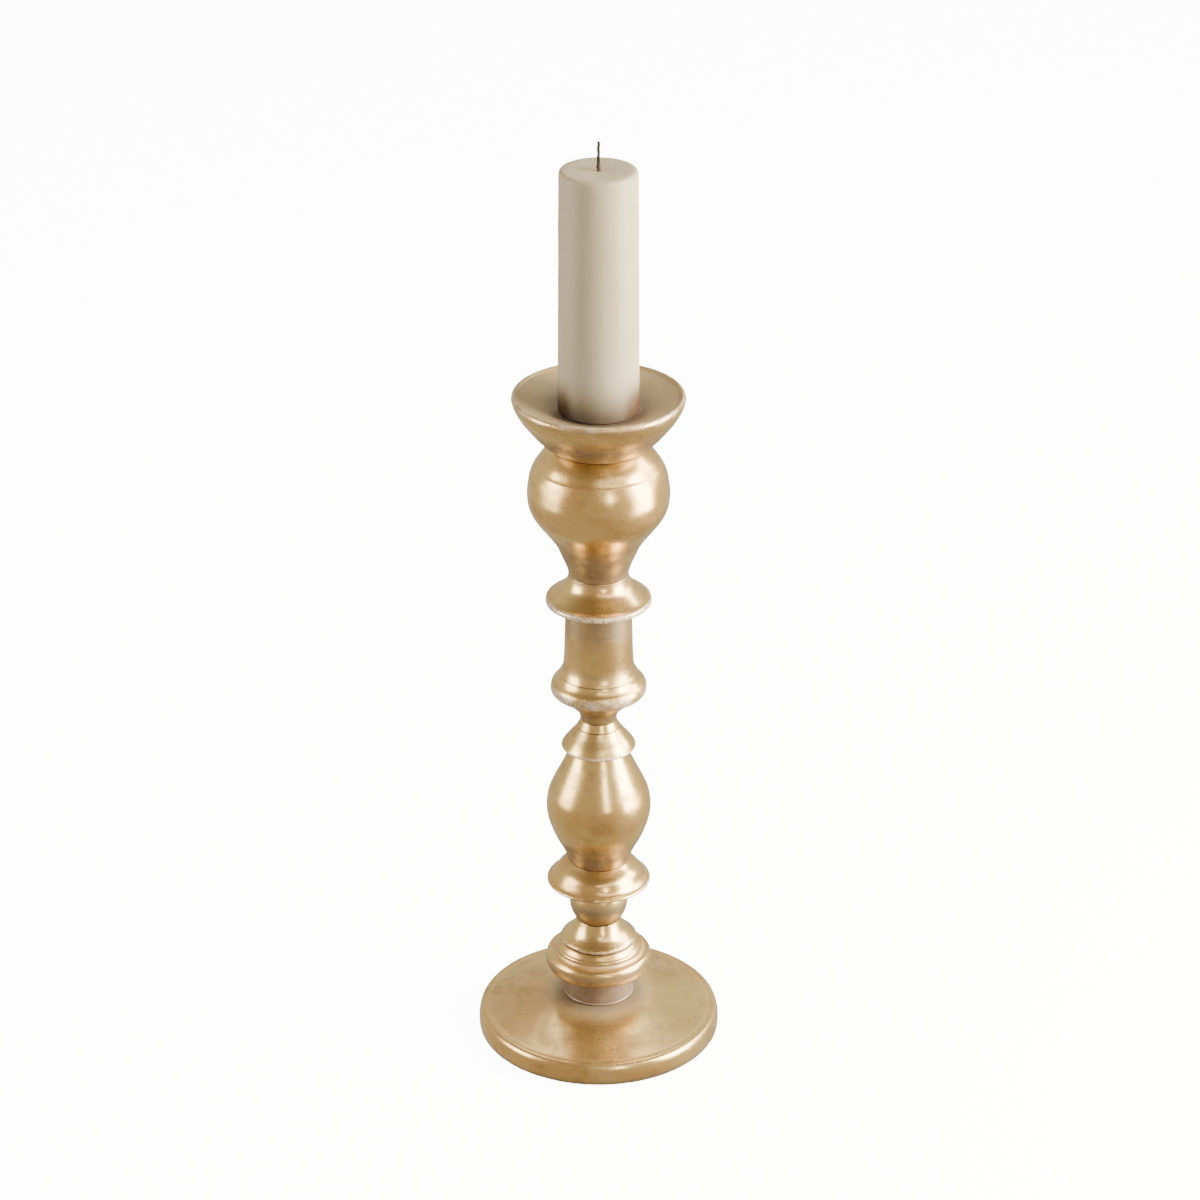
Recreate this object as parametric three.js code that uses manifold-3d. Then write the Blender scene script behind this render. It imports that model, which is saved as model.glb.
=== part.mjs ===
// Altar candlestick: gilt brass sections threaded on a steel tie rod, with a lift-off pillar candle.
// Millimetres, +Z up. The origin is the centre of the felt face that stands on the table.

import * as THREE from 'three';
import Module from 'manifold-3d';
import { mergeVertices } from 'three/addons/utils/BufferGeometryUtils.js';

const wasm = await Module();
wasm.setup();

// ---- Driving dimensions -------------------------------------------------------------------------

const JOINT_GAP = 0.3; // clearance left between two faces that touch on the real object
const ROD_RADIUS = 4; // M8 tie rod
const BORE_RADIUS = 4.5; // clearance hole through every section on the rod
const THREAD_BORE = ROD_RADIUS + JOINT_GAP; // modelled bore of the tapped pieces

const BASE_RADIUS = 79.8;
const BASE_FOOT = 0.6; // the metal edge stands clear of the table by this much
const BASE_SEAT = 25.6; // height of the seat that the stem stands on
const BOSS_UNDERSIDE = 15; // lower face of the centre boss, where the washer bears
const FELT_RADIUS = 73.4;
const FELT_THICKNESS = 2.1;

// Height of each section of the stem, from its own seat to the next section's seat, bottom to top.
const HEIGHT = {
  foot_collar: 18.8,
  foot_ring: 20.8,
  foot_bell: 15.5,
  lower_knop: 26.3,
  lower_saucer: 18,
  baluster: 82.9,
  bell_collar: 14.7,
  neck_ferrule: 5,
  middle_ring: 33.1,
  column_sleeve: 49.6,
  upper_ring: 20.4,
  vase_bulb: 87.5,
  drip_pan: 34,
};

const COLLAR_BORE = 19.7; // inside of the plain foot collar
const COLUMN_BORE = 18.9; // inside of the column sleeve
const REGISTER_CLEARANCE = 0.4; // a spigot is this much smaller than the bore it centres
const SPIGOT_LENGTH = 3; // spigots of the base, foot ring and vase
const COLUMN_SPIGOT_LENGTH = 3.5; // spigots at the two ends of the column
const PAN_SOCKET = 24.6; // opening under the pan, which slips over the vase's spigot
const CANDLE_SEAT = 23.9; // height of the candle's seat inside the pan
const PRICKET_RECESS = 19.9; // height of the floor of the recess under the pricket's flange

const SPIKE_LENGTH = 47.7; // underside of the flange to the tip
const ROD_ENTRY = 10.5; // depth of rod screwed into the pricket
const ROD_BELOW_NUT = 1; // rod showing under the nut
const ROD_CHAMFER = 0.8;
const CANDLE_RADIUS = 25.4; // a 2 inch pillar candle at its foot
const CANDLE_TOP_RADIUS = 24.35;
const CANDLE_HEIGHT = 156.5;
const WICK_RADIUS = 1.1;
const WICK_SHOWING = 17.7; // wick above the wax
const WICK_ABOVE_SPIKE = 2; // wax between the pricket's tip and the end of the wick

const FACETS = 32; // sides of a large turned section
const SMALL_FACETS = 20; // sides of the rod, pricket and washers
const WICK_FACETS = 8;
const WELD_DISTANCE = 1e-4; // points closer than this are one point

// ---- Finishes -----------------------------------------------------------------------------------

function finish(color, roughness, metalness) {
  return new THREE.MeshStandardMaterial({ color, roughness, metalness });
}

const gilt = () => finish(0xb08f5f, 0.36, 1);
const dullGilt = () => finish(0x86715c, 0.6, 0.5);
const steel = () => finish(0x8d8f92, 0.4, 1);
const felt = () => finish(0x3a2c22, 0.95, 0);
const wax = () => finish(0xc9bda3, 0.6, 0);
const charredWick = () => finish(0x2b2a28, 0.9, 0);

// ---- Turning helpers ----------------------------------------------------------------------------
// An outline is a list of [radius, height] pairs, with the solid on its left.

const vectors = (points) => points.map(([radius, height]) => new THREE.Vector2(radius, height));
const pairs = (curve, steps) => curve.getPoints(steps).map(({ x, y }) => [x, y]);

// A smooth curve through the named points.
const smooth = (steps, ...points) => pairs(new THREE.SplineCurve(vectors(points)), steps);

// A rounded corner from one point to another, pulled towards the corner.
const bend = (steps, ...points) => pairs(new THREE.QuadraticBezierCurve(...vectors(points)), steps);

// Part of a circle centred on the axis, from one height to another.
function ball(steps, radius, centre, low, high) {
  const start = Math.asin((low - centre) / radius);
  const end = Math.asin((high - centre) / radius);
  const at = (step) => start + ((end - start) * step) / steps;
  const point = (angle) => [radius * Math.cos(angle), centre + radius * Math.sin(angle)];
  return Array.from({ length: steps + 1 }, (_, step) => point(at(step)));
}

// The outline turned round the +Z axis. It closes on itself unless it starts and ends on the axis.
function turned(outline, facets = FACETS) {
  const onAxis = outline[0][0] === 0;
  const loop = onAxis ? outline : [...outline, outline[0]];
  return new THREE.LatheGeometry(vectors(loop), facets).rotateX(Math.PI / 2);
}

// The outline of a section with a straight bore for the rod between its two end faces.
function bored(...outside) {
  const low = outside[0][1];
  const high = outside[outside.length - 1][1];
  return [[BORE_RADIUS, low], ...outside, [BORE_RADIUS, high]];
}

function toSolid(geometry) {
  const bare = geometry.clone();
  bare.deleteAttribute('normal');
  bare.deleteAttribute('uv');
  const merged = mergeVertices(bare, WELD_DISTANCE);
  const mesh = new wasm.Mesh({
    numProp: 3,
    vertProperties: new Float32Array(merged.attributes.position.array),
    triVerts: new Uint32Array(merged.index.array),
  });
  return new wasm.Manifold(mesh);
}

function toGeometry(solid) {
  const mesh = solid.getMesh();
  const geometry = new THREE.BufferGeometry();
  geometry.setAttribute('position', new THREE.BufferAttribute(mesh.vertProperties, 3));
  geometry.setIndex(new THREE.BufferAttribute(mesh.triVerts, 1));
  geometry.computeVertexNormals();
  return geometry;
}

// ---- Base ---------------------------------------------------------------------------------------

// Hollow cast disc: rounded rim, low domed top, centre boss, and a ledge underneath for the felt.
function baseDisc() {
  const ledge = FELT_THICKNESS + JOINT_GAP;
  const feltWall = FELT_RADIUS + REGISTER_CLEARANCE;
  const rimSide = smooth(6, [78.7, BASE_FOOT], [BASE_RADIUS, 5], [79.2, 11.6], [76.7, 14.9]);
  const dome = smooth(3, [74.5, 15.2], [52, 19.8], [22.9, BASE_SEAT]);
  const spigot = COLLAR_BORE - REGISTER_CLEARANCE;
  const cavity = [[14, 19.6], [19, 20.4], [65.5, 12.2], [67.4, 9.8], [67.4, ledge]];
  return turned([
    [BORE_RADIUS, BOSS_UNDERSIDE],
    [14, BOSS_UNDERSIDE],
    ...cavity,
    [feltWall, ledge],
    [feltWall, BASE_FOOT],
    ...rimSide,
    ...dome,
    [spigot, BASE_SEAT],
    [spigot, BASE_SEAT + SPIGOT_LENGTH],
    [BORE_RADIUS, BASE_SEAT + SPIGOT_LENGTH],
  ]);
}

// Felt ring glued to the ledge. Its centre hole leaves the nut within reach.
function feltPad() {
  return turned([[16, 0], [FELT_RADIUS, 0], [FELT_RADIUS, FELT_THICKNESS], [16, FELT_THICKNESS]]);
}

// ---- Stem sections, from the foot upwards. Each stands on its own seat at height 0. --------------

// Plain tube with a small bead round its foot.
function footCollar(height) {
  const bead = [[22.9, 0], [23.1, 0.5], [22.75, 1.2]];
  return turned([[COLLAR_BORE, 0], ...bead, [22.75, height], [COLLAR_BORE, height]]);
}

// Heavy round moulding with a smaller step on top. A spigot centres it in the collar.
function footRing(height) {
  const spigot = COLLAR_BORE - REGISTER_CLEARANCE;
  const moulding = smooth(5, [29.5, 0], [33.5, 1.7], [34.8, 7.2], [34.3, 10.4], [32.1, 12.6]);
  const step = [[29.6, 13.2], [28.5, 16.2], [26.4, 19.4]];
  return turned(bored([spigot, -SPIGOT_LENGTH], [spigot, 0], ...moulding, ...step, [24.6, height]));
}

// Flared bell with a thin lip.
function footBell(height) {
  const flare = smooth(6, [25, 0.8], [24.8, 2], [23.4, 3.3], [19, 7.4], [15.9, 11.9], [14.4, height]);
  return turned(bored([24.2, 0], ...flare));
}

// Ball cut flat at both ends.
function lowerKnop(height) {
  return turned(bored(...ball(6, 19.1, height / 2, 0, height)));
}

// Umbrella-shaped saucer with a thin rolled edge and a nearly flat underside.
function lowerSaucer(height) {
  const edge = [[31.8, 1.9], [33.4, 2.5], [33.9, 3.4], [33.2, 4.6]];
  const crown = smooth(6, [31.6, 5.2], [28.7, 8.7], [27.3, 11.3], [24.2, 14.4], [19.6, height]);
  return turned(bored([17.5, 0], ...edge, ...crown));
}

// Hollow egg-shaped baluster, widest about half way up.
function baluster(height) {
  const [cavityFoot, cavityTop] = [6, 76];
  const lower = [[19.4, 0], [23.8, 10.2], [31.1, 25.5]];
  const outside = smooth(10, ...lower, [34, 40.5], [30.6, 55], [22.8, 71.8], [18.2, height]);
  const inside = smooth(5, [15.5, cavityTop], [27.4, 56], [30.8, 40.5], [28, 25.5], [16.5, cavityFoot]);
  const cavity = [[BORE_RADIUS, cavityTop], ...inside, [BORE_RADIUS, cavityFoot]];
  return turned([...bored(...outside), ...cavity]);
}

// Bell that hangs over the baluster's shoulder.
function bellCollar(height) {
  const flare = smooth(4, [23.9, 0.9], [22.7, 3.2], [18.4, 8.8], [14, height]);
  return turned(bored([22.9, 0], ...flare));
}

// Short ferrule at the narrowest place of the stem.
function neckFerrule(height) {
  return turned(bored([14, 0], [12.5, 2.8], [11.6, height]));
}

// Flared underside, round flange and sloping top. A spigot centres the column sleeve.
function middleRing(height) {
  const spigot = COLUMN_BORE - REGISTER_CLEARANCE;
  const underside = smooth(5, [11.6, 0], [12.9, 4.9], [16, 8.2], [22.6, 15.2], [29.4, 19.4]);
  const flange = smooth(4, [30.3, 20.4], [30.9, 23], [30.5, 26.2], [28.8, 28.3]);
  const register = [[25.3, height], [spigot, height], [spigot, height + COLUMN_SPIGOT_LENGTH]];
  return turned(bored(...underside, ...flange, ...register));
}

// Slightly tapered tube with a flared foot.
function columnSleeve(height) {
  const flare = [[25.3, 0], [23.3, 3.5], [22.4, 9]];
  return turned([[COLUMN_BORE, 0], ...flare, [22, 21], [21.3, height], [COLUMN_BORE, height]]);
}

// Thin flange with a hollow-sided neck above it. A spigot centres it in the column sleeve.
function upperRing(height) {
  const spigot = COLUMN_BORE - REGISTER_CLEARANCE;
  const flange = [[32.8, 0], [33.7, 1], [33.8, 2.7], [32.6, 4.1]];
  const neck = smooth(5, [32.2, 4.3], [27.8, 7.6], [22.1, 13.3], [19.4, 18.4], [19.2, height]);
  return turned(bored([spigot, -COLUMN_SPIGOT_LENGTH], [spigot, 0], ...flange, ...neck));
}

// Hollow vase: plain conical neck, round body, and a spigot that centres the pan.
function vaseBulb(height) {
  const spigot = PAN_SOCKET - 2 * REGISTER_CLEARANCE;
  const [cavityFoot, cavityTop] = [8, 82];
  const neck = [[19.3, 0], [19.8, 3.4], [24.4, 14.8], [34, 30.8]];
  const body = smooth(13, ...neck, [42.4, 42.8], [45, 55], [43.3, 68.4], [38.2, 78.8], [29.6, height]);
  const inside = smooth(7, [24, cavityTop], [38.4, 71], [41.6, 56], [38.2, 42.5], [28, 30], [15, cavityFoot]);
  const cavity = [[BORE_RADIUS, cavityTop], ...inside, [BORE_RADIUS, cavityFoot]];
  return turned([...bored(...body, [spigot, height], [spigot, height + SPIGOT_LENGTH]), ...cavity]);
}

// Flared cup with a rolled rim and a shallow dish. A recess in the candle's seat takes the pricket.
function dripPan(height) {
  const cup = smooth(6, [29.8, 0], [38.6, 7], [49.9, 21.2], [54, 30.2]);
  const rim = [[54.3, 31.4], [53.6, height - 0.5], [52.4, height], [51.2, height - 0.6]];
  const dish = [[44, 30.3], [27.4, CANDLE_SEAT + 0.5], [26.4, CANDLE_SEAT]];
  const recess = [[12.8, CANDLE_SEAT], [12.8, PRICKET_RECESS], [BORE_RADIUS, PRICKET_RECESS]];
  const hollow = [[BORE_RADIUS, 16.4], [14, 16.4], [26, 19.5], [38, 23.5], [37, 18], [PAN_SOCKET, 4]];
  return turned([[PAN_SOCKET, 0], ...cup, ...rim, ...dish, ...recess, ...hollow]);
}

// ---- Fixings ------------------------------------------------------------------------------------

// Steel rod that clamps the whole stack, with chamfered ends.
function tieRod(length) {
  const tip = ROD_RADIUS - ROD_CHAMFER;
  const side = [[ROD_RADIUS, ROD_CHAMFER], [ROD_RADIUS, length - ROD_CHAMFER]];
  return turned([[0, 0], [tip, 0], ...side, [tip, length], [0, length]], SMALL_FACETS);
}

const WASHER = { radius: 11.5, thickness: 1.6 };
const LOCK_WASHER = { radius: 7.4, thickness: 2, split: 1.2 };
const NUT = { acrossFlats: 13, thickness: 6.5, chamfer: 0.7 };

function ring(radius, thickness) {
  return turned([[THREAD_BORE, 0], [radius, 0], [radius, thickness], [THREAD_BORE, thickness]], SMALL_FACETS);
}

// Spring washer: a ring with a narrow slanting split.
function lockWasher() {
  const { radius, thickness, split } = LOCK_WASHER;
  const cutter = new THREE.BoxGeometry(radius, split, 4 * thickness);
  cutter.rotateX(Math.PI / 7).translate(radius, 0, thickness / 2);
  return toGeometry(toSolid(ring(radius, thickness)).subtract(toSolid(cutter)));
}

// Hexagon nut with both faces chamfered to a cone, on its rod bore.
function baseNut() {
  const { acrossFlats, thickness, chamfer } = NUT;
  const corner = acrossFlats / Math.sqrt(3);
  const hexagon = new THREE.Shape();
  for (let side = 0; side < 6; side += 1) {
    const angle = (side * Math.PI) / 3;
    const reach = [corner * Math.cos(angle), corner * Math.sin(angle)];
    if (side === 0) hexagon.moveTo(...reach);
    else hexagon.lineTo(...reach);
  }
  hexagon.closePath();
  const prism = new THREE.ExtrudeGeometry(hexagon, { depth: thickness, bevelEnabled: false });
  const face = corner - chamfer;
  const high = thickness - chamfer;
  const blank = turned([[THREAD_BORE, 0], [face, 0], [corner + 0.6, chamfer], [corner + 0.6, high],
    [face, thickness], [THREAD_BORE, thickness]], SMALL_FACETS);
  return toGeometry(toSolid(prism).intersect(toSolid(blank)));
}

// Spike on a round flange. The rod screws into the blind hole underneath.
function pricket() {
  const hole = ROD_ENTRY + 0.5;
  const flange = [[THREAD_BORE, 0], [12.2, 0], [12.2, 2.8], [11.8, 3.2], [6.5, 3.2]];
  const spike = [[5.7, 11.5], [3, 30], [0.5, SPIKE_LENGTH - 0.6], [0, SPIKE_LENGTH]];
  return turned([[0, hole], [THREAD_BORE, hole], ...flange, ...spike], SMALL_FACETS);
}

// ---- Candle -------------------------------------------------------------------------------------

// Slightly tapered pillar with a rounded shoulder. Its bore follows the pricket, then the wick.
function candle() {
  const wickBore = WICK_RADIUS + JOINT_GAP;
  const corner = [CANDLE_TOP_RADIUS - 0.1, CANDLE_HEIGHT - 0.1];
  const shoulder = bend(3, [CANDLE_TOP_RADIUS, CANDLE_HEIGHT - 3.2], corner, [21.1, CANDLE_HEIGHT]);
  const bore = [[wickBore, CANDLE_HEIGHT], [wickBore, 45], [3.6, 26], [6.3, 7.3], [7, 0]];
  return turned([[CANDLE_RADIUS - 0.5, 0], [CANDLE_RADIUS, 0.6], ...shoulder, ...bore]);
}

// Braided wick from just above the pricket's tip, with a bead of char where it leaves the wax.
function wick(sunk) {
  const bead = [[WICK_RADIUS, sunk + 0.3], [1.6, sunk + 0.7], [1.5, sunk + 1.9], [WICK_RADIUS, sunk + 2.6]];
  const top = sunk + WICK_SHOWING;
  const tip = [[WICK_RADIUS, top - 0.3], [0.8, top], [0, top]];
  return turned([[0, 0], [WICK_RADIUS, 0], ...bead, ...tip], WICK_FACETS);
}

// ---- Assembly -----------------------------------------------------------------------------------

const candlestick = new THREE.Group();

function place(name, geometry, material, height) {
  const mesh = new THREE.Mesh(geometry, material);
  mesh.name = name;
  mesh.position.z = height;
  candlestick.add(mesh);
}

const STEM = [
  ['foot_collar', footCollar, dullGilt],
  ['foot_ring', footRing, gilt],
  ['foot_bell', footBell, gilt],
  ['lower_knop', lowerKnop, gilt],
  ['lower_saucer', lowerSaucer, gilt],
  ['baluster', baluster, gilt],
  ['bell_collar', bellCollar, gilt],
  ['neck_ferrule', neckFerrule, gilt],
  ['middle_ring', middleRing, gilt],
  ['column_sleeve', columnSleeve, gilt],
  ['upper_ring', upperRing, gilt],
  ['vase_bulb', vaseBulb, gilt],
  ['drip_pan', dripPan, gilt],
];

place('felt_pad', feltPad(), felt(), 0);
place('base_disc', baseDisc(), gilt(), 0);

// Every section stands on the one below it. The last seat found is the pan's.
let seat = BASE_SEAT + JOINT_GAP;
let panSeat = seat;
for (const [name, section, material] of STEM) {
  place(name, section(HEIGHT[name]), material(), seat);
  panSeat = seat;
  seat += HEIGHT[name] + JOINT_GAP;
}

// The nut, lock washer and washer pull up against the boss under the base.
const washerHeight = BOSS_UNDERSIDE - JOINT_GAP - WASHER.thickness;
const lockHeight = washerHeight - JOINT_GAP - LOCK_WASHER.thickness;
const nutHeight = lockHeight - JOINT_GAP - NUT.thickness;
place('base_washer', ring(WASHER.radius, WASHER.thickness), steel(), washerHeight);
place('lock_washer', lockWasher(), steel(), lockHeight);
place('base_nut', baseNut(), steel(), nutHeight);

// The rod runs from just below the nut into the pricket, which closes the stack at the top.
const pricketHeight = panSeat + PRICKET_RECESS + JOINT_GAP;
const rodFoot = nutHeight - ROD_BELOW_NUT;
place('tie_rod', tieRod(pricketHeight + ROD_ENTRY - rodFoot), steel(), rodFoot);
place('pricket', pricket(), steel(), pricketHeight);

// The candle stands on the pan, over the pricket, and lifts straight off.
const candleHeight = panSeat + CANDLE_SEAT + JOINT_GAP;
const wickFoot = pricketHeight + SPIKE_LENGTH + WICK_ABOVE_SPIKE;
place('candle', candle(), wax(), candleHeight);
place('wick', wick(candleHeight + CANDLE_HEIGHT - wickFoot), charredWick(), wickFoot);

export default candlestick;
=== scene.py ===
"""Altar candlestick: fine turned sections, gilding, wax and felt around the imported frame."""

import math

import bpy
import numpy as np
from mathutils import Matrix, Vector, noise
from mathutils.bvhtree import BVHTree


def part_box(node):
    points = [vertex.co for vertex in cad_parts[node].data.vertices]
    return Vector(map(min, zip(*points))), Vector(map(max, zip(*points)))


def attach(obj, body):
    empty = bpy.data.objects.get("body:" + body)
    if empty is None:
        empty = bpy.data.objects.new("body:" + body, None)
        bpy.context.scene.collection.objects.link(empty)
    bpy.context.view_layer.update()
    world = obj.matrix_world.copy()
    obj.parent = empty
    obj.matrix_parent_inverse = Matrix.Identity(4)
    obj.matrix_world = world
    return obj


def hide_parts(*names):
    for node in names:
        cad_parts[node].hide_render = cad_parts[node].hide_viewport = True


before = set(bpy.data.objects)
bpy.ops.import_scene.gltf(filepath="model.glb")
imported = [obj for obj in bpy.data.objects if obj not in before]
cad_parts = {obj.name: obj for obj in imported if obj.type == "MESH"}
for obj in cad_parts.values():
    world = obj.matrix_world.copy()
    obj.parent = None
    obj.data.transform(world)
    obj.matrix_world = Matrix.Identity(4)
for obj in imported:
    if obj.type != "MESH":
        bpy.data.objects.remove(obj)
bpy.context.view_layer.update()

# ---- Dimensions, in millimetres unless a name says otherwise -------------------------------------

MM = 0.001  # metres in a millimetre
BORE = 4.5  # radius of the clearance hole round the rod
ROD_RADIUS = 4.0
ROD_CHAMFER = 0.8
THREAD_LENGTH = 26.0
THREAD_PITCH = 1.25
THREAD_DEPTH = 0.55
FELT_RADIUS = 73.4
FELT_HOLE = 16.0
FELT_THICKNESS = 2.1
CANDLE_RADIUS = 25.4  # at the foot
CANDLE_TOP_RADIUS = 24.35
SEGMENTS = 180  # sides of a turned section
FOOT_SEGMENTS = 256  # sides of the base disc and of the felt under it

# The camera stands in front of the stem and looks down at it by its pitch.
CAMERA_BACK = 2188.1
CAMERA_HEIGHT = 1397.7
CAMERA_SIDE = 0.9
CAMERA_PITCH = math.radians(26.342)
CAMERA_LENS = 115.6
SENSOR = 36.0

# ---- Outlines ------------------------------------------------------------------------------------
# An outline is a list of (radius, height) points with the solid on its left. It closes on itself.


def smooth(*points, steps=10):
    """A curve through the points, with the given number of steps between each two."""
    p = np.array(points, float)
    p = np.vstack([2 * p[0] - p[1], p, 2 * p[-1] - p[-2]])
    t = np.linspace(0, 1, steps, endpoint=False)[:, None]
    out = []
    for a, b, c, d in zip(p[:-3], p[1:-2], p[2:-1], p[3:]):
        cubic = -a + 3 * b - 3 * c + d
        square = 2 * a - 5 * b + 4 * c - d
        out.append(b + 0.5 * ((c - a) * t + square * t**2 + cubic * t**3))
    return [tuple(q) for q in np.vstack(out + [p[-2:-1]])]


def ball(radius, centre, low, high, steps=28):
    """Part of a circle centred on the axis, from one height to another."""
    angles = np.linspace(math.asin((low - centre) / radius), math.asin((high - centre) / radius), steps)
    return [(radius * math.cos(a), centre + radius * math.sin(a)) for a in angles]


def bead(radius, height, size, steps=12):
    """A half-round bead of the given size standing out from a wall."""
    angles = np.linspace(-math.pi / 2, math.pi / 2, steps)
    return [(radius + size * math.cos(a), height + size * math.sin(a)) for a in angles]


def bored(*outside):
    """A section with a straight bore for the rod between its end faces."""
    return [(BORE, outside[0][1]), *outside, (BORE, outside[-1][1])]


def base_disc():
    rim_side = smooth((78.7, 0.5), (79.5, 1.5), (79.8, 5.0), (79.7, 8.5), (79.2, 11.6),
                      (78.2, 13.8), (76.7, 14.9), (74.5, 15.2))
    dome = smooth((73.0, 15.0), (71.6, 15.3), (60, 18.0), (45, 21.4), (30, 24.6), (23.6, 25.6))
    underside = [(4.5, 15), (14, 15), (14, 19.6), (19, 20.4), (65.5, 12.2), (67.4, 9.8), (67.4, 2.4)]
    return [*underside, (73.8, 2.4), (73.8, 0.5), *rim_side, *dome,
            (19.3, 25.6), (19.3, 28.6), (4.5, 28.6)]


def foot_collar():
    return [(19.7, 0), *bead(22.5, 0.7, 0.7), (22.75, 1.9), (22.75, 18.8), (19.7, 18.8)]


def foot_ring():
    moulding = smooth((29.5, 0), (32.6, 0.9), (34.5, 4.0), (34.8, 7.2), (34.2, 10.4), (32.4, 12.4))
    step = [(30.6, 12.5), *smooth((29.4, 13.4), (28.6, 14.6), (28.5, 16.3), (27.6, 17.4))]
    top = smooth((27.2, 17.5), (26.0, 19.4), (24.6, 20.8))
    return bored((19.3, -3), (19.3, 0), *moulding, *step, *top)


def foot_bell():
    lip = smooth((24.2, 0), (25.0, 0.8), (24.9, 2.0), (24.0, 2.8))
    flare = smooth((23.4, 3.3), (19.3, 6.9), (16.1, 11.4), (14.4, 15.5))
    return bored(*lip, *flare)


def lower_knop():
    return bored(*ball(19.1, 13.15, 0, 26.3))


def lower_saucer():
    edge = smooth((17.5, 0), (25, 0.6), (32.0, 1.9), (33.6, 2.6), (33.8, 3.6), (32.9, 4.6), (31.9, 4.8))
    crown = smooth((31.6, 5.2), (30.1, 6.6), (28.7, 8.7), (27.3, 11.3), (24.7, 14.0),
                   (21.6, 16.3), (19.6, 18))
    return bored(*edge, *crown)


def baluster():
    belly = smooth((19.4, 0), (20.8, 3.2), (23.8, 10.2), (27.8, 17.8), (31.2, 26), (33.4, 34), (34, 40.5),
                   (33, 49), (30.5, 55.8), (26.6, 64), (22.8, 71.8), (19.8, 78.4), (18.2, 82.9), steps=6)
    return bored(*belly)


def bell_collar():
    lip = smooth((22.9, 0), (23.9, 0.7), (23.9, 1.7), (23.2, 2.8))
    flare = smooth((22.9, 3.3), (20.6, 6.4), (17.2, 10.4), (14, 14.7))
    return bored(*lip, *flare)


def neck_ferrule():
    return bored(*smooth((14.0, 0), (13.4, 1.1), (12.5, 2.8), (11.8, 4.2), (11.6, 5)))


def middle_ring():
    underside = smooth((11.6, 0), (12.2, 2.6), (13.4, 5.8), (16.6, 9.2), (22.6, 14.9), (28.4, 18.9))
    flange = smooth((29.4, 19.4), (30.7, 21), (30.9, 23.4), (30.4, 26.1), (29.3, 27.8))
    top = smooth((28.4, 28.5), (26.9, 30.3), (25.8, 32.1), (25.3, 33.1))
    return bored(*underside, *flange, *top, (18.5, 33.1), (18.5, 36.6))


def column_sleeve():
    flare = smooth((25.3, 0), (24.2, 1.6), (23.3, 3.5), (22.75, 6), (22.4, 9), (22.1, 14),
                   (21.85, 24), (21.3, 49.6))
    return [(18.9, 0), *flare, (18.9, 49.6)]


def upper_ring():
    flange = smooth((32.6, 0), (33.6, 0.7), (33.8, 2.1), (33.4, 3.5), (32.5, 4.2), (31.8, 4.3))
    neck = smooth((31.2, 4.7), (27.8, 7.5), (22.6, 12.3), (19.9, 16.6), (19.2, 20.4))
    return bored((18.5, -3.5), (18.5, 0), *flange, *neck)


def vase_bulb():
    lower = smooth((19.25, 0), (19.7, 3), (21.3, 7.6), (24.4, 14.8), (27.4, 21.4), (34.0, 30.8),
                   (40.6, 39.6), (44.0, 47), (45, 55), (44.5, 61), (43, 69), (40.4, 74.8))
    shoulder = smooth((39.7, 75.5), (36.4, 80.6), (32.8, 84.6), (29.6, 87.5))
    return bored(*lower, *shoulder, (23.8, 87.5), (23.8, 90.5))


def drip_pan():
    cup = smooth((29.8, 0), (33.9, 2.6), (38.6, 7.0), (44.4, 13.8), (49.9, 21.2), (53.1, 27.2), (54.0, 30.2))
    rim = smooth((54.3, 31.4), (54.0, 32.9), (53.1, 33.9), (52.0, 34.0), (51.2, 33.4))
    dish = smooth((50.6, 32.8), (42, 29.6), (33.5, 26.4), (27.0, 24.1))
    recess = [(26.4, 23.9), (12.8, 23.9), (12.8, 19.9), (BORE, 19.9)]
    hollow = [(BORE, 16.4), (14, 16.4), (26, 19.5), (38, 23.5), (37, 18), (24.6, 4)]
    return [(24.6, 0), *cup, *rim, *dish, *recess, *hollow]


# ---- Turning -------------------------------------------------------------------------------------

FINE = 0.12  # spacing of the working samples round an outline, and the closest that two rows stand
WIDEST = 1.7  # the furthest apart that two rows stand
ROW_TURN = 0.16  # radians that the outline turns between two rows
EDGE_TURN = (0.06, 0.34)  # radians per millimetre at which a convex edge starts to wear, and is wholly worn
HOLLOW_TURN = (0.05, 0.30)  # and at which a hollow starts to hold grime, and is full of it
BEND_REACH = 0.3  # how far along the outline the bend is smoothed, and then the wear and the grime
WEAR_REACH = 0.7
GRIME_REACH = 0.9
ONLY_INWARDS = 30.0  # beyond this radius the unevenness only takes metal away
SHELTER_REACH = 0.11  # metres within which metal shelters a surface
SHELTER_SPREAD = 0.004  # metres along the outline over which the shelter is smoothed
OFF_SURFACE = 0.0006  # metres from the surface at which the rays start
NEVER = 1000.0  # no section reaches this radius
TURNINGS = []  # every turned piece with its rows, for the shelter


def closed_samples(outline, spacing):
    """Points at an even spacing round the closed outline."""
    p = np.array(outline, float)
    p = np.vstack([p, p[:1]])
    length = np.r_[0, np.cumsum(np.linalg.norm(np.diff(p, axis=0), axis=1))]
    keep = np.r_[True, np.diff(length) > 1e-9]
    count = int(length[-1] / spacing)
    at = np.linspace(0, length[-1], count, endpoint=False)
    return np.stack([np.interp(at, length[keep], p[keep, axis]) for axis in (0, 1)], 1)


def blurred(values, reach):
    """The values smoothed round the closed outline by a bell curve of the given reach, in samples."""
    offsets = np.arange(-int(3 * reach), int(3 * reach) + 1)
    weights = np.exp(-0.5 * (offsets / reach) ** 2)
    weights /= weights.sum()
    return sum(w * np.roll(values, -k, axis=0) for k, w in zip(offsets, weights))


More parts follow.
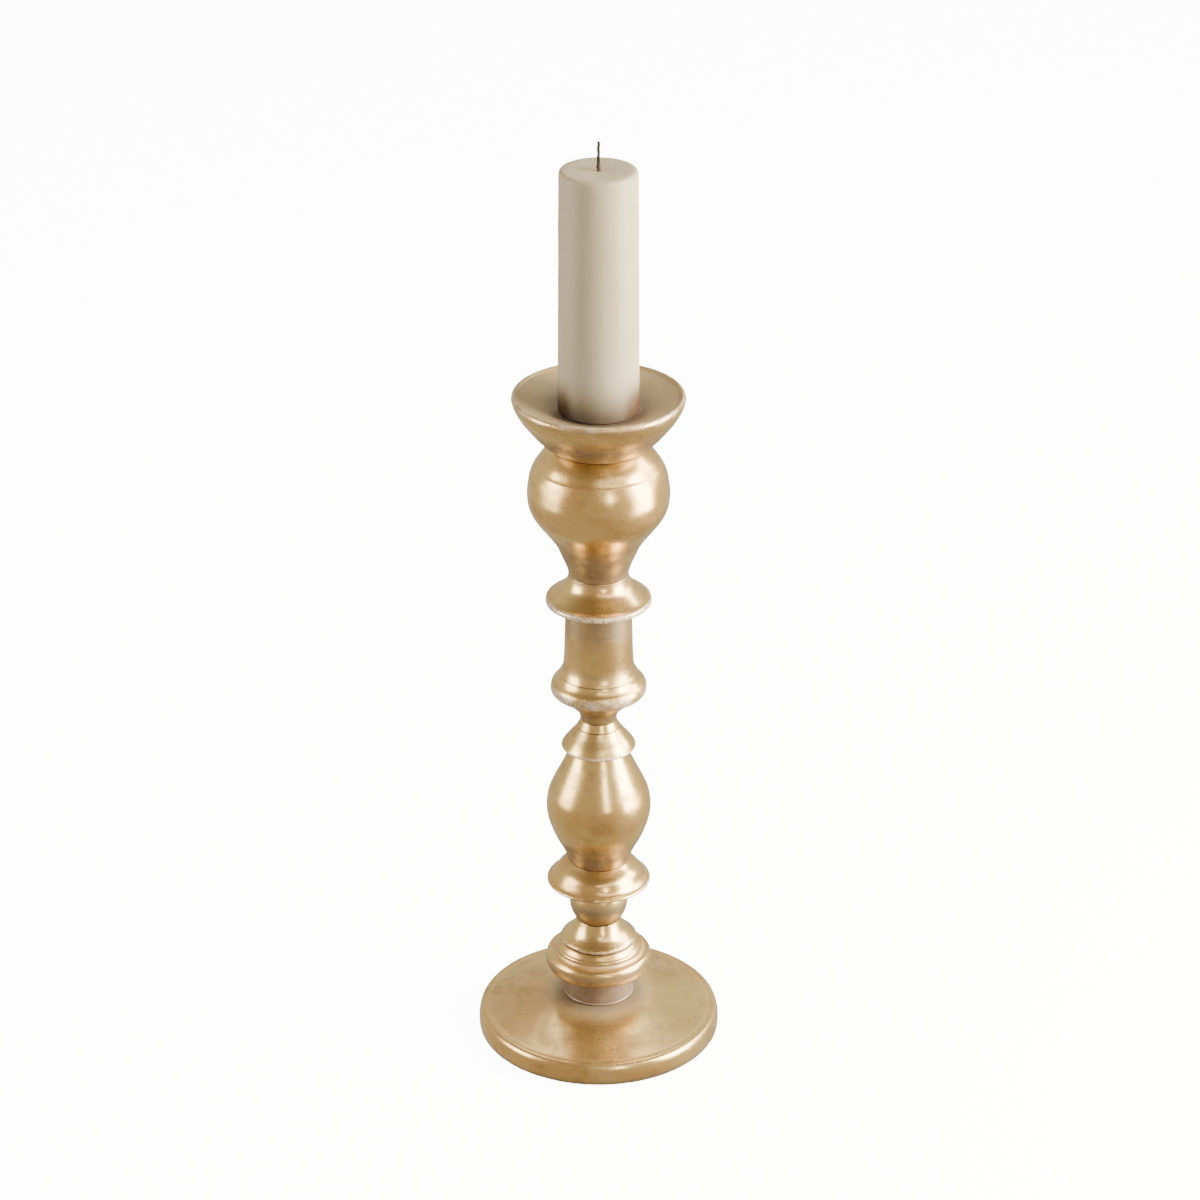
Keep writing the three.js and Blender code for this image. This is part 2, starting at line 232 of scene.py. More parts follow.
def turning(points):
    """How sharply the outline turns at each point, per millimetre. It is positive on a convex edge."""
    ahead = np.roll(points, -1, axis=0) - points
    behind = points - np.roll(points, 1, axis=0)
    cross = behind[:, 0] * ahead[:, 1] - behind[:, 1] * ahead[:, 0]
    angle = np.arctan2(cross, (behind * ahead).sum(1))
    return angle / (0.5 * (np.linalg.norm(ahead, axis=1) + np.linalg.norm(behind, axis=1)) + 1e-9)


def thinned(points, bend):
    """Which samples to keep: many on tight bends, and few where the outline runs straight."""
    kept = [0]
    for k in range(1, len(points)):
        gap = np.linalg.norm(points[k] - points[kept[-1]])
        limit = np.clip(ROW_TURN / (abs(bend[k]) + 1e-6), FINE, WIDEST)
        if gap >= limit:
            kept.append(k)
    return kept


def ramp(values, low, high):
    """0 at the low value and 1 at the high one, with a smooth step between them."""
    t = np.clip((values - low) / (high - low), 0, 1)
    return t * t * (3 - 2 * t)


def fine_outline(outline, edge, rubbed_beyond, rub):
    """The outline with its corners worn round, and how worn and how grimy each point is."""
    points = blurred(closed_samples(outline, FINE), edge / FINE)
    bend = blurred(turning(points), BEND_REACH / FINE)
    standing_out = ramp(points[:, 0], rubbed_beyond - 1.0, rubbed_beyond + 0.6)
    widest = points[:, 0].max()
    outermost = 0.8 * ramp(points[:, 0], widest - 1.2, widest - 0.3)
    wear = rub * standing_out * blurred(np.maximum(ramp(bend, *EDGE_TURN), outermost), WEAR_REACH / FINE)
    grime = blurred(ramp(-bend, *HOLLOW_TURN), GRIME_REACH / FINE)
    kept = thinned(points, bend)
    return points[kept], wear[kept], grime[kept]


def around(radius, angle, up):
    """The point at this radius, angle and height, in metres."""
    return radius * math.cos(angle) * MM, radius * math.sin(angle) * MM, up * MM


def mesh_object(name, verts, faces, attributes):
    """A smooth-shaded object, with a value at each vertex for each named attribute."""
    mesh = bpy.data.meshes.new(name)
    mesh.from_pydata([tuple(v) for v in verts], [], faces)
    for label, values in attributes.items():
        layer = mesh.attributes.new(label, "FLOAT", "POINT")
        layer.data.foreach_set("value", np.asarray(values, np.float32))
    mesh.polygons.foreach_set("use_smooth", [True] * len(mesh.polygons))
    mesh.update()
    piece = bpy.data.objects.new(name, mesh)
    bpy.context.scene.collection.objects.link(piece)
    return piece


def ring_faces(rows, sides):
    """Four-sided faces of a closed ring with the given rows round its section and sides round its axis."""
    faces = []
    for row in range(rows):
        below = row * sides
        above = ((row + 1) % rows) * sides
        for side in range(sides):
            turn = (side + 1) % sides
            faces.append((below + side, below + turn, above + turn, above + side))
    return faces


def tube_faces(rows, sides):
    """Faces of a tube with the given rows up its length, closed by a flat face at each end."""
    faces = ring_faces(rows, sides)[: (rows - 1) * sides]
    faces.append(tuple(reversed(range(sides))))
    faces.append(tuple(range((rows - 1) * sides, rows * sides)))
    return faces


def turned(name, outline, height, edge=0.05, sides=SEGMENTS, wobble=0.10, nicks=0.22,
           rubbed_beyond=NEVER, rub=0.0, matt_at=None):
    """The outline turned round the axis, with the slight unevenness of hand finishing and chipped edges.

    Edges beyond the given radius are rubbed by the given amount. matt_at says how matt a face that looks up
    is at each radius."""
    points, wear, grime = fine_outline(outline, edge, rubbed_beyond, rub)
    outward = np.roll(points, -1, axis=0) - np.roll(points, 1, axis=0)
    outward = np.stack([outward[:, 1], -outward[:, 0]], 1)
    outward /= np.linalg.norm(outward, axis=1)[:, None] + 1e-9
    angles = np.linspace(0, 2 * math.pi, sides, endpoint=False)
    verts = []
    for (radius, up), worn, (push_r, push_z) in zip(points, wear, outward):
        for angle in angles:
            spot = Vector((radius * math.cos(angle), radius * math.sin(angle), up + height))
            shift = wobble * noise.noise(spot * 0.045)
            if worn > 0.05:
                chip = noise.noise(spot * 0.55) + 0.5 * noise.noise(spot * 1.3)
                shift -= nicks * worn * max(0.0, chip - 0.15)
            shift = min(shift, 0.0) if radius > ONLY_INWARDS else shift
            verts.append(around(radius + shift * push_r, angle, up + height + shift * push_z))
    matt = matt_at(points[:, 0]) * ramp(outward[:, 1], 0.55, 0.85) if matt_at else np.zeros(len(points))
    rows = {"wear": wear, "grime": grime, "matt": matt, "shelter": np.zeros(len(points))}
    rows["underneath"] = ramp(-outward[:, 1], -0.40, 0.05)
    attributes = {label: np.repeat(values, sides) for label, values in rows.items()}
    piece = mesh_object(name, verts, ring_faces(len(points), sides), attributes)
    TURNINGS.append((piece, points * MM, outward, height * MM, sides))
    return piece


def sky_rays(rings=4, spokes=9):
    """Directions spread over the half sphere about +Z, each standing for the same share of its light."""
    rays = []
    for ring in range(rings):
        sine = math.sqrt((ring + 0.5) / rings)
        for spoke in range(spokes):
            turn = 2 * math.pi * (spoke + 0.5 * ring) / spokes
            rays.append(Vector((sine * math.cos(turn), sine * math.sin(turn), math.sqrt(1 - sine * sine))))
    return rays


def along_outline(values, points, reach):
    """The values smoothed over the given distance along the outline, in metres."""
    steps = np.linalg.norm(points - np.roll(points, 1, axis=0), axis=1)
    place = np.cumsum(steps)
    apart = np.abs(place[:, None] - place[None, :])
    apart = np.minimum(apart, place[-1] - apart)
    weights = np.exp(-0.5 * (apart / reach) ** 2) * steps
    return (weights * np.array(values)).sum(1) / weights.sum(1)


def find_shelter():
    """Fill in how much of the sky above each turned surface is shut out by the metal around it."""
    verts, faces = [], []
    for piece, *_ in TURNINGS:
        first = len(verts)
        verts += [v.co.copy() for v in piece.data.vertices]
        faces += [[first + k for k in face.vertices] for face in piece.data.polygons]
    stack = BVHTree.FromPolygons(verts, faces)
    rays = sky_rays()
    for piece, points, outward, height, sides in TURNINGS:
        shut = []
        for (radius, up), (push_r, push_z) in zip(points, outward):
            normal = Vector((push_r, 0, push_z))
            facing = normal.to_track_quat("Z", "Y")
            start = Vector((radius, 0, up + height)) + OFF_SURFACE * normal
            near = [stack.ray_cast(start, facing @ ray, SHELTER_REACH)[3] for ray in rays]
            shut.append(sum(1 - gap / SHELTER_REACH for gap in near if gap is not None) / len(rays))
        shut = along_outline(shut, points, SHELTER_SPREAD)
        piece.data.attributes["shelter"].data.foreach_set("value", np.repeat(shut, sides).astype(np.float32))


# ---- Shader helpers ------------------------------------------------------------------------------


class Shader:
    """A material's node tree, with short ways to add nodes and join them."""

    def __init__(self, name):
        self.material = bpy.data.materials.new(name)
        self.material.use_nodes = True
        self.tree = self.material.node_tree
        self.surface = self.tree.nodes["Principled BSDF"]
        coordinates = self.tree.nodes.new("ShaderNodeTexCoord")
        self.place = coordinates.outputs["Object"]

    def link(self, source, socket):
        """Join another socket to this one, or set it to a number or a colour."""
        if isinstance(source, (int, float)):
            socket.default_value = source
        elif isinstance(source, tuple):
            socket.default_value = (*source, 1.0)[: len(socket.default_value)]
        else:
            self.tree.links.new(source, socket)

    def stretched(self, scale, offset=(0, 0, 0)):
        node = self.tree.nodes.new("ShaderNodeMapping")
        node.inputs["Scale"].default_value = scale
        node.inputs["Location"].default_value = offset
        self.link(self.place, node.inputs["Vector"])
        return node.outputs["Vector"]

    def noise(self, scale, detail=4.0, rough=0.55, distortion=0.0, stretch=(1, 1, 1), offset=(0, 0, 0)):
        node = self.tree.nodes.new("ShaderNodeTexNoise")
        node.inputs["Scale"].default_value = scale
        node.inputs["Detail"].default_value = detail
        node.inputs["Roughness"].default_value = rough
        node.inputs["Distortion"].default_value = distortion
        self.link(self.stretched(stretch, offset), node.inputs["Vector"])
        return node.outputs["Fac"]

    def attribute(self, name):
        node = self.tree.nodes.new("ShaderNodeAttribute")
        node.attribute_name = name
        return node.outputs["Fac"]

    def math(self, operation, a, b=0.0, clamp=False):
        node = self.tree.nodes.new("ShaderNodeMath")
        node.operation = operation
        node.use_clamp = clamp
        for value, socket in zip((a, b), node.inputs):
            self.link(value, socket)
        return node.outputs[0]

    def range(self, value, low, high, to_low=0.0, to_high=1.0):
        node = self.tree.nodes.new("ShaderNodeMapRange")
        node.interpolation_type = "SMOOTHSTEP"
        for source, socket in zip((value, low, high, to_low, to_high), node.inputs):
            self.link(source, socket)
        return node.outputs["Result"]

    def mix(self, amount, a, b):
        node = self.tree.nodes.new("ShaderNodeMix")
        node.data_type = "RGBA"
        self.link(amount, node.inputs["Factor"])
        self.link(a, node.inputs[6])
        self.link(b, node.inputs[7])
        return node.outputs[2]

    def bump(self, height, distance, strength=1.0, under=None):
        node = self.tree.nodes.new("ShaderNodeBump")
        node.inputs["Strength"].default_value = strength
        node.inputs["Distance"].default_value = distance
        self.link(height, node.inputs["Height"])
        if under is not None:
            self.link(under, node.inputs["Normal"])
        return node.outputs["Normal"]

    def finish(self, **sockets):
        for name, source in sockets.items():
            self.link(source, self.surface.inputs[name.replace("_", " ")])
        return self.material


# ---- Materials -----------------------------------------------------------------------------------

MATT_GOLD = (0.36, 0.28, 0.175)
DUST_AND_SHADE = (0.17, 0.132, 0.11)
RUBBED_PALE = (0.80, 0.65, 0.50)
RUBBED_DARK = (0.56, 0.43, 0.37)
PITS = (0.24, 0.16, 0.10)
GRIME = (0.24, 0.15, 0.08)

FELT_DARK = (0.045, 0.028, 0.018)
FELT_LIGHT = (0.075, 0.048, 0.032)
FELT_FIBRES = (0.13, 0.09, 0.065)

WAX_DARK = (0.345, 0.305, 0.225)
WAX_LIGHT = (0.405, 0.36, 0.265)
WAX_BLOOM = (0.31, 0.295, 0.235)
WAX_FOOT_DARK = (0.075, 0.054, 0.045)
WAX_STAIN = (0.055, 0.024, 0.009)

WICK_WAXY = (0.07, 0.045, 0.025)
WICK_CHARRED = (0.014, 0.014, 0.013)
WICK_ASH = (0.07, 0.067, 0.062)


def gilding(name, light, middle, dark, tarnished_and_shaded, roughness, metallic=1.0):
    """Antique gilding: mottled gold, brown smudges, undersides tarnished and darkened by painted shade where
    the metal shelters them, grime in hollows and pale edges.
    """
    s = Shader(name)
    broad = s.noise(24, detail=4, rough=0.55, distortion=0.4)
    smudges = s.noise(38, detail=6, rough=0.60, distortion=0.3, stretch=(1, 1, 2.2), offset=(3.1, 0.7, 1.9))
    cloud = s.noise(130, detail=6, rough=0.62, offset=(0.3, 2.2, 5.1))
    specks = s.noise(520, detail=4, rough=0.65, offset=(7.7, 1.1, 0.4))

    gold = s.mix(s.range(broad, 0.36, 0.64), middle, light)
    patina = s.math("MULTIPLY", s.range(smudges, 0.44, 0.66), s.range(cloud, 0.26, 0.62, 0.25, 1.0))
    gold = s.mix(s.math("MULTIPLY", patina, 0.55), gold, dark)
    gold = s.mix(s.range(specks, 0.62, 0.76, 0.0, 0.15), gold, dark)

    shelter = s.attribute("shelter")
    # Partly tarnish, partly painted shade: faces that look down and are sheltered by the metal around them
    # get a darker, duller colour.
    tarnish_and_shade = s.math("MULTIPLY", s.range(shelter, 0.0, 0.06), s.attribute("underneath"))
    tarnish_and_shade = s.math("MULTIPLY", tarnish_and_shade, s.range(cloud, 0.30, 0.60, 0.65, 1.0))
    gold = s.mix(s.math("MULTIPLY", tarnish_and_shade, 0.85), gold, tarnished_and_shaded)
    matt = s.attribute("matt")
    gold = s.mix(matt, gold, MATT_GOLD)
    # Dust and painted shade: matt faces sheltered by the metal around them, as on the disc round the collar
    # and in the dish round the candle, are darkened.
    dust_and_shade = s.math("MULTIPLY", s.range(shelter, 0.16, 0.50), matt)
    gold = s.mix(s.math("MULTIPLY", dust_and_shade, 0.8), gold, DUST_AND_SHADE)

    wear = s.attribute("wear")
    ragged = s.math("ADD", s.math("MULTIPLY", broad, 0.35), s.math("MULTIPLY", cloud, 0.40))
    ragged = s.math("ADD", ragged, s.math("MULTIPLY", specks, 0.25))
    ragged = s.math("ADD", ragged, s.math("MULTIPLY", wear, 0.42))
    rubbed = s.math("MULTIPLY", s.range(ragged, 0.72, 0.86), s.range(wear, 0.05, 0.35, 0.0, 0.9))
    bare = s.mix(s.range(specks, 0.40, 0.62), RUBBED_PALE, RUBBED_DARK)
    gold = s.mix(rubbed, gold, bare)
    dots = s.math("MULTIPLY", s.range(specks, 0.55, 0.62), s.range(wear, 0.15, 0.55, 0.0, 0.9))
    gold = s.mix(dots, gold, PITS)

    dirty = s.range(s.attribute("grime"), 0.05, 0.75)
    dirty = s.math("MULTIPLY", dirty, s.range(cloud, 0.25, 0.60, 0.5, 1.0))
    gold = s.mix(s.math("MULTIPLY", dirty, 0.35), gold, GRIME)

    rough = s.math("ADD", roughness, s.range(smudges, 0.42, 0.72, -0.03, 0.10))
    spoilt = s.math("ADD", dirty, rubbed)
    rough = s.math("ADD", rough, s.math("MULTIPLY", spoilt, 0.12))
    rough = s.math("ADD", rough, s.math("MULTIPLY", tarnish_and_shade, 0.28))
    rough = s.math("ADD", rough, s.math("MULTIPLY", s.math("MULTIPLY", matt, matt), 0.33), clamp=True)
    dulled = s.math("ADD", s.math("MULTIPLY", spoilt, 0.25), s.math("MULTIPLY", matt, 0.55))
    dulled = s.math("ADD", dulled, s.math("MULTIPLY", dots, 0.4))
    metal = s.math("SUBTRACT", metallic, dulled, clamp=True)

    soft = s.bump(s.noise(48, detail=2, rough=0.5, stretch=(1, 1, 1.4), offset=(1.7, 4.4, 0.2)), 0.0005, 0.35)
    lines = s.bump(s.noise(5.0, detail=3, rough=0.6, stretch=(6, 6, 300)), 0.00002, 0.4, soft)
    relief = s.bump(s.math("MULTIPLY", s.math("ADD", rubbed, dots), -1.0), 0.00010, 0.6, lines)
    return s.finish(Base_Color=gold, Metallic=metal, Roughness=rough, Normal=relief)


def steel(name, colour, roughness):
    """Turned steel with fine rings, a little oil staining and dull patches."""
    s = Shader(name)
    stain = s.noise(90, detail=6, rough=0.6)
    rings = s.noise(5, detail=3, rough=0.7, stretch=(8, 8, 500))
    dark = tuple(0.45 * c for c in colour)
    tone = s.mix(s.range(stain, 0.48, 0.70), colour, dark)
    rough = s.math("ADD", roughness, s.range(stain, 0.4, 0.7, -0.04, 0.16))
    relief = s.bump(rings, 0.00003, 0.5)
    return s.finish(Base_Color=tone, Metallic=1.0, Roughness=rough, Normal=relief)


def felt_material():
    """Matted wool: tangled fibres, uneven dye and a soft sheen."""
    s = Shader("felt")
    tangle = s.noise(1400, detail=6, rough=0.75, distortion=1.5)
    dye = s.noise(60, detail=4)
    colour = s.mix(s.range(dye, 0.35, 0.65), FELT_DARK, FELT_LIGHT)
    colour = s.mix(s.range(tangle, 0.45, 0.70, 0.0, 0.6), colour, FELT_FIBRES)
    s.surface.inputs["Sheen Weight"].default_value = 0.5
    s.surface.inputs["Sheen Roughness"].default_value = 0.5
    rough = s.range(tangle, 0.3, 0.7, 0.98, 0.85)
    return s.finish(Base_Color=colour, Roughness=rough, Normal=s.bump(tangle, 0.0005, 0.9))


def wax_material(foot, height, radius):
    """Aged candle wax: vertical streaks, a grey bloom, and brown stains where it stands in the pan."""
    s = Shader("wax")
    streaks = s.noise(34, detail=5, rough=0.55, stretch=(1, 1, 0.10))
    bloom = s.noise(22, detail=4, rough=0.55, stretch=(1, 1, 0.5), offset=(2.4, 0.3, 1.1))
    grain = s.noise(700, detail=4, rough=0.6)
    colour = s.mix(s.range(streaks, 0.36, 0.64), WAX_DARK, WAX_LIGHT)
    colour = s.mix(s.range(bloom, 0.48, 0.68, 0.0, 0.5), colour, WAX_BLOOM)

    split = s.tree.nodes.new("ShaderNodeSeparateXYZ")
    s.link(s.place, split.inputs[0])
    up = split.outputs["Z"]
    # Darker towards the foot.
    low = s.range(up, foot, foot + 0.20 * height, 1.0, 0.0)
    colour = s.mix(s.math("MULTIPLY", low, 0.85), colour, WAX_FOOT_DARK)
    side = s.range(s.math("ABSOLUTE", split.outputs["X"]), 0.58 * radius, 0.88 * radius)
    ragged = s.noise(60, detail=4, stretch=(1, 1, 0.5), offset=(0.2, 0.9, 0.1))
    reach = s.range(up, foot + 0.04 * height, foot + 0.18 * height, 1.0, 0.0)
    stain = s.math("MULTIPLY", s.math("MULTIPLY", side, reach), s.range(ragged, 0.30, 0.55, 0.65, 1.0))
    colour = s.mix(s.math("MULTIPLY", stain, 0.95), colour, WAX_STAIN)

    s.surface.inputs["Subsurface Weight"].default_value = 0.35
    s.surface.inputs["Subsurface Radius"].default_value = (0.006, 0.004, 0.0022)
    s.surface.inputs["Subsurface Scale"].default_value = 1.0
    s.surface.inputs["IOR"].default_value = 1.44
    s.surface.inputs["Specular IOR Level"].default_value = 0.35
    rough = s.range(bloom, 0.35, 0.7, 0.48, 0.64)
    soft = s.bump(s.noise(55, detail=3, stretch=(1, 1, 0.4)), 0.0008, 0.4)
    return s.finish(Base_Color=colour, Roughness=rough, Normal=s.bump(grain, 0.00008, 0.5, soft))


def wick_material(wax_top):
    """Braided cotton, charred black above and waxy brown where it leaves the candle."""
    s = Shader("wick")
    fibres = s.noise(2600, detail=4, rough=0.7, stretch=(1, 1, 0.25))
    split = s.tree.nodes.new("ShaderNodeSeparateXYZ")
    s.link(s.place, split.inputs[0])
    burnt = s.range(split.outputs["Z"], wax_top + 0.0005, wax_top + 0.004)
    colour = s.mix(burnt, WICK_WAXY, WICK_CHARRED)
    colour = s.mix(s.range(fibres, 0.5, 0.75, 0.0, 0.4), colour, WICK_ASH)
    rough = s.range(fibres, 0.3, 0.7, 0.75, 0.95)
    return s.finish(Base_Color=colour, Roughness=rough, Normal=s.bump(fibres, 0.0003, 0.9))


GOLD = gilding("gilt", light=(0.84, 0.61, 0.25), middle=(0.75, 0.485, 0.185), dark=(0.36, 0.205, 0.08),
               tarnished_and_shaded=(0.235, 0.19, 0.148), roughness=0.25)
DULL_GOLD = gilding("rubbed_gilt", light=(0.32, 0.235, 0.175), middle=(0.26, 0.19, 0.14),
                    dark=(0.16, 0.10, 0.075), tarnished_and_shaded=(0.15, 0.105, 0.08), roughness=0.42, metallic=0.5)
STEEL = steel("steel", (0.56, 0.56, 0.55), 0.32)
PRICKET_IRON = steel("pricket_iron", (0.30, 0.29, 0.28), 0.36)

# ---- Pieces --------------------------------------------------------------------------------------


def low_of(node):
    """Height of the node's lowest point, in millimetres."""
    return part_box(node)[0].z / MM


def high_of(node):
    """Height of the node's highest point, in millimetres."""
    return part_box(node)[1].z / MM


def settle(piece, node, body, material):
    """The piece takes the node's place, its body and its finish."""
    piece.data.materials.append(material)
    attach(piece, body)
    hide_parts(node)
    return piece


# node name: its outline, how far its spigot hangs below its seat, the radius beyond which its edge is rubbed,
# and how much
SECTIONS = {
    "foot_collar": (foot_collar, 0, NEVER, 0),
    "foot_ring": (foot_ring, 3, 31, 0.5),
    # The foot bell's pale rubbed lip is partly worn gilding and partly a painted highlight along the lip.
    "foot_bell": (foot_bell, 0, 23.9, 0.7),
    "lower_knop": (lower_knop, 0, NEVER, 0),
    "lower_saucer": (lower_saucer, 0, 32, 0.65),
    "baluster": (baluster, 0, NEVER, 0),
    "bell_collar": (bell_collar, 0, 22.8, 0.85),
    "neck_ferrule": (neck_ferrule, 0, NEVER, 0),
    "middle_ring": (middle_ring, 0, 28.5, 0.9),
    "column_sleeve": (column_sleeve, 0, NEVER, 0),
    "upper_ring": (upper_ring, 3.5, 31.5, 1.1),
    "vase_bulb": (vase_bulb, 0, NEVER, 0),
    "drip_pan": (drip_pan, 0, 51.5, 0.68),
}


def dish_matt(radius):
    """Dull with old wax all over the dish."""
    return np.full(len(radius), 0.9)


def disc_matt(radius):
    """Dusty round the collar, up to 44 mm from the axis, and only a little dulled further out."""
    return 0.14 + 0.62 * ramp(-radius, -44, -25)


def stem():
    """The sections from the foot collar up to the pan."""
    for node, (outline, spigot, rubbed_beyond, rub) in SECTIONS.items():
        matt_at = dish_matt if node == "drip_pan" else None
        piece = turned("turned_" + node, outline(), low_of(node) + spigot,
                       rubbed_beyond=rubbed_beyond, rub=rub, matt_at=matt_at)
        if node == "foot_collar":
            settle(piece, node, "stand", DULL_GOLD)
        else:
            settle(piece, node, "stand", GOLD)


def foot():
    """The base disc, and the felt ring under it."""
    piece = turned("turned_base_disc", base_disc(), 0.0, edge=0.3, sides=FOOT_SEGMENTS,
                   rubbed_beyond=76.5, rub=0.35, matt_at=disc_matt)
    settle(piece, "base_disc", "stand", GOLD)
    outline = [(FELT_HOLE, 0), (FELT_RADIUS, 0), (FELT_RADIUS, FELT_THICKNESS), (FELT_HOLE, FELT_THICKNESS)]
    pad = turned("felt_ring", outline, 0.0, edge=0.3, sides=FOOT_SEGMENTS, wobble=0.0, nicks=0.0)
    settle(pad, "felt_pad", "stand", felt_material())


def threaded_rod():
    """The tie rod, with a real screw thread where it comes through the nut."""
    sides, rows_in_pitch, rows_in_shank = 48, 8, 24
    foot_height = low_of("tie_rod")
    length = high_of("tie_rod") - foot_height
    rows = [*np.arange(0, THREAD_LENGTH, THREAD_PITCH / rows_in_pitch),
            *np.linspace(THREAD_LENGTH, length, rows_in_shank)]
    verts = []
    for row in rows:
        chamfer = max(0.0, ROD_CHAMFER - row) + max(0.0, ROD_CHAMFER - (length - row))
        for side in range(sides):
            turn = side / sides
            phase = (row / THREAD_PITCH - turn) % 1.0
            cut = THREAD_DEPTH * abs(2 * phase - 1) if row < THREAD_LENGTH else 0.0
            verts.append(around(ROD_RADIUS - max(cut, chamfer), 2 * math.pi * turn, foot_height + row))
    piece = mesh_object("threaded_rod", verts, tube_faces(len(rows), sides), {})
    settle(piece, "tie_rod", "stand", STEEL)


def spike():
    """The pricket: turned flange, shoulder and point, with a blind hole for the rod."""
    point = smooth((6.5, 3.2), (5.9, 9), (4.6, 19), (2.9, 31), (1.2, 42), (0.45, 47))
    outline = [(0.02, 11), (4.3, 11), (4.3, 0), (12.2, 0), (12.2, 2.8), (11.8, 3.2), *point, (0.02, 47.7)]
    piece = turned("pricket_spike", outline, low_of("pricket"), edge=0.12, sides=72, wobble=0.0, nicks=0.0)
    settle(piece, "pricket", "stand", PRICKET_IRON)


def candle():
    """The wax pillar: a rounded shoulder, a shallow well at the wick, and a tapered hole for the spike."""
    foot_height = low_of("candle")
    tall = high_of("candle") - foot_height
    shoulder = smooth((CANDLE_TOP_RADIUS, tall - 3.2), (CANDLE_TOP_RADIUS - 0.4, tall - 1.4),
                      (CANDLE_TOP_RADIUS - 1.4, tall - 0.4), (CANDLE_TOP_RADIUS - 3.2, tall))
    well = smooth((14, tall - 0.05), (6, tall - 0.35), (1.5, tall - 0.8))
    bore = [(1.4, 45), (3.6, 26), (6.3, 7.3), (7, 0)]
    side = [(CANDLE_RADIUS - 0.5, 0), (CANDLE_RADIUS, 0.6), (CANDLE_RADIUS - 0.5, 0.5 * tall)]
    outline = [*side, *shoulder, *well, *bore]
    piece = turned("wax_pillar", outline, foot_height, edge=0.35, wobble=0.16, nicks=0.0)
    wax = wax_material(foot_height * MM, tall * MM, CANDLE_TOP_RADIUS * MM)
    settle(piece, "candle", "candle", wax)


def wick():
    """Three plaited strands, crusted where they leave the wax and drawn in at the tip."""
    foot_height = low_of("wick")
    length = high_of("wick") - foot_height
    wax_top = high_of("candle")
    sides, twist, row_height = 30, 5.5, 0.35
    rows = np.arange(0, length, row_height)
    rows = np.r_[rows[rows < length - 0.2], length]
    verts = []
    for row in rows:
        above = row + foot_height - wax_top
        crust = 0.45 * math.exp(-(((above - 1.2) / 0.9) ** 2)) if above > 0 else 0.0
        for side in range(sides):
            angle = 2 * math.pi * side / sides
            plait = 0.09 * math.cos(3 * (angle + row / twist * 2 * math.pi / 3))
            rough = 0.05 * noise.noise(Vector((3 * math.cos(angle), 3 * math.sin(angle), 2.2 * row)))
            radius = min(1.0 + plait + crust + rough, 1.6 if above > 0.1 else 1.12)
            if row == rows[-1]:
                radius *= 0.8
            verts.append(around(radius, angle, foot_height + row))
    piece = mesh_object("plaited_wick", verts, tube_faces(len(rows), sides), {})
    settle(piece, "wick", "candle", wick_material(wax_top * MM))


def fixings():
    """The nut and washers keep their CAD shapes."""
    for node in ("base_washer", "lock_washer", "base_nut"):
        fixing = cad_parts[node]
        fixing.data.materials.clear()
        fixing.data.materials.append(STEEL)


stem()
foot()
spike()
candle()
find_shelter()
threaded_rod()
wick()
fixings()

# ---- Studio --------------------------------------------------------------------------------------


ROOM_FRONT_COLOUR = (1.0, 0.85, 0.64)
ROOM_BACK_COLOUR = (1.0, 0.92, 0.72)
ROOM_FRONT = 0.62  # how bright the room is behind the camera
ROOM_BACK = 0.82  # and behind the stem
ROOM_BELOW = 0.95  # share of that below the horizon
ROOM_ABOVE = 0.47  # and overhead
ROOM_RIGHT = 0.35  # added on the right
DAYLIGHT = (1.0, 0.92, 0.77)
WARM_DAYLIGHT = (1.0, 0.88, 0.60)
AIM_HEIGHT = 0.3  # metres above the floor, where the lights point
FLOOR_GLOW = 12.0
FLOOR_REACH = 12.0  # metres from the stem to the floor's edge


def camera():
    data = bpy.data.cameras.new("camera")
    data.lens = CAMERA_LENS
    data.sensor_width = SENSOR
    data.clip_end = 50.0
    eye = bpy.data.objects.new("camera", data)
    eye.location = (CAMERA_SIDE * MM, -CAMERA_BACK * MM, CAMERA_HEIGHT * MM)
    eye.rotation_euler = (math.pi / 2 - CAMERA_PITCH, 0, 0)
    bpy.context.scene.collection.objects.link(eye)
    bpy.context.scene.camera = eye


def softbox(name, azimuth, elevation, distance, width, height, power, colour=DAYLIGHT, mirrored=True):
    """A rectangular light that faces the stem. Azimuth 0 is the camera's side, and grows to the right."""
    data = bpy.data.lights.new(name, "AREA")
    data.shape = "RECTANGLE"
    data.size = width
    data.size_y = height
    data.energy = power
    data.color = colour
    lamp = bpy.data.objects.new(name, data)
    a, e = math.radians(azimuth), math.radians(elevation)
    direction = Vector((math.sin(a) * math.cos(e), -math.cos(a) * math.cos(e), math.sin(e)))
    lamp.location = Vector((0, 0, AIM_HEIGHT)) + direction * distance
    lamp.rotation_euler = (-direction).to_track_quat("-Z", "Y").to_euler()
    lamp.visible_glossy = mirrored
    bpy.context.scene.collection.objects.link(lamp)


